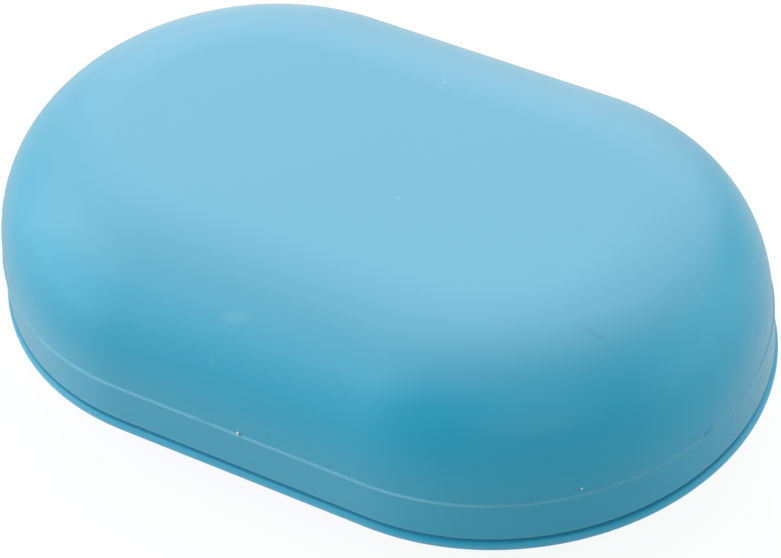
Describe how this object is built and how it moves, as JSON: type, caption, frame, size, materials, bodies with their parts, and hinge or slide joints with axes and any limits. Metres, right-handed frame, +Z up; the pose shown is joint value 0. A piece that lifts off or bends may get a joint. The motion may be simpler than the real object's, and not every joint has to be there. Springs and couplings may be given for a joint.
{
  "type": "travel soap box",
  "caption": "Oval travel soap box: a domed press-on lid over a shallow flanged base, with a sealing ring and a slotted drain rack inside.",
  "frame": {"origin": "centre of the closed box's bounding box, on the plane that it stands on", "axes": "+X along the box's long side, +Y across it, +Z up and out of the lid"},
  "size_m": [0.1146, 0.075, 0.0353],
  "materials": {
    "base_plastic": "sky-blue moulded polypropylene with a soft satin sheen",
    "lid_plastic": "sky-blue moulded polypropylene with a soft satin sheen",
    "rack_plastic": "paler sky-blue moulded polypropylene",
    "seal_silicone": "milky soft silicone"
  },
  "bodies": {
    "base": {"base": "base_plastic", "seal_ring": "seal_silicone"},
    "drain_rack": {"drain_rack": "rack_plastic"},
    "lid": {"lid": "lid_plastic"}
  },
  "joints": [
    {"name": "lid_lift", "type": "slide", "parent": "base", "child": "lid", "axis": [0, 0, 1], "range_m": [0, 0.06]},
    {"name": "rack_lift", "type": "slide", "parent": "base", "child": "drain_rack", "axis": [0, 0, 1], "range_m": [0, 0.016]}
  ]
}
